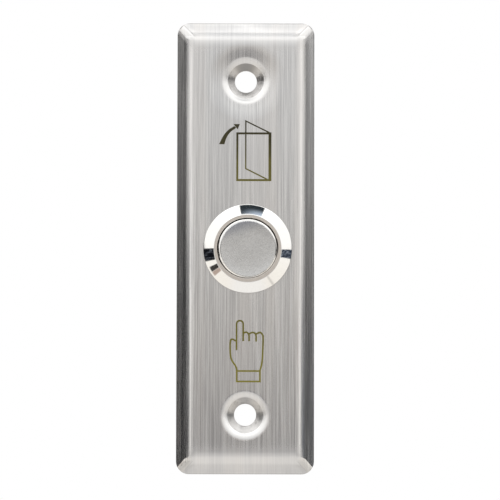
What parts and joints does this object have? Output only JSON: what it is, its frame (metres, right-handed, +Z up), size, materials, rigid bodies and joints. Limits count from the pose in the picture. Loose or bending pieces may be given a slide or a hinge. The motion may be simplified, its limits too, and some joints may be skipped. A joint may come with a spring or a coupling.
{
  "type": "door exit button",
  "caption": "Narrow bevelled steel cover plate with countersunk fixing holes and a sprung round metal push button in a threaded barrel with rear screw terminals.",
  "frame": {"origin": "on the wall plane, midway between the fixing holes", "axes": "+Z up along the plate, -Y towards the person who presses the button, +Y into the wall"},
  "size_m": [0.028, 0.0227, 0.092],
  "materials": {
    "plate_steel": "vertical brushed grain, etched pictograms",
    "bezel_steel": "turned; polished bevel and satin front ring",
    "cap_steel": "satin front face, polished edge",
    "nickel_plate": "nickel plated brass",
    "washer_steel": "zinc plated",
    "spring_steel": "drawn spring wire",
    "seal_rubber": "black moulded rubber",
    "base_plastic": "black glass-filled moulding",
    "stem_plastic": "natural moulding",
    "contact_brass": "turned and stamped brass",
    "contact_silver": "silver rivet",
    "screw_steel": "nickel plated steel"
  },
  "bodies": {
    "frame": {"faceplate": "plate_steel", "switch_housing": "bezel_steel", "flange_gasket": "seal_rubber", "lock_washer": "washer_steel", "hex_nut": "nickel_plate", "return_spring": "spring_steel", "contact_base": "base_plastic", "terminal_left": "contact_brass", "clamp_washer_left": "screw_steel", "terminal_screw_left": "screw_steel", "terminal_right": "contact_brass", "clamp_washer_right": "screw_steel", "terminal_screw_right": "screw_steel"},
    "button": {"button_cap": "cap_steel", "cap_seal": "seal_rubber", "plunger": "stem_plastic", "contact_spring": "spring_steel", "bridge_clip": "spring_steel"},
    "bridge": {"contact_bridge": "contact_brass", "bridge_tip_left": "contact_silver", "bridge_tip_right": "contact_silver"}
  },
  "joints": [
    {"name": "button_press", "type": "slide", "parent": "frame", "child": "button", "axis": [0, 1, 0], "range_m": [0, 0.002], "stiffness_N_per_m": 1000, "springref_m": -0.003, "deforming": ["return_spring"]},
    {"name": "bridge_slide", "type": "slide", "parent": "frame", "child": "bridge", "axis": [0, 1, 0], "range_m": [0, 0.0014], "deforming": ["contact_spring"]}
  ],
  "couplings": [
    {"joint": "bridge_slide", "follows": "button_press", "ratio": 0.7}
  ]
}
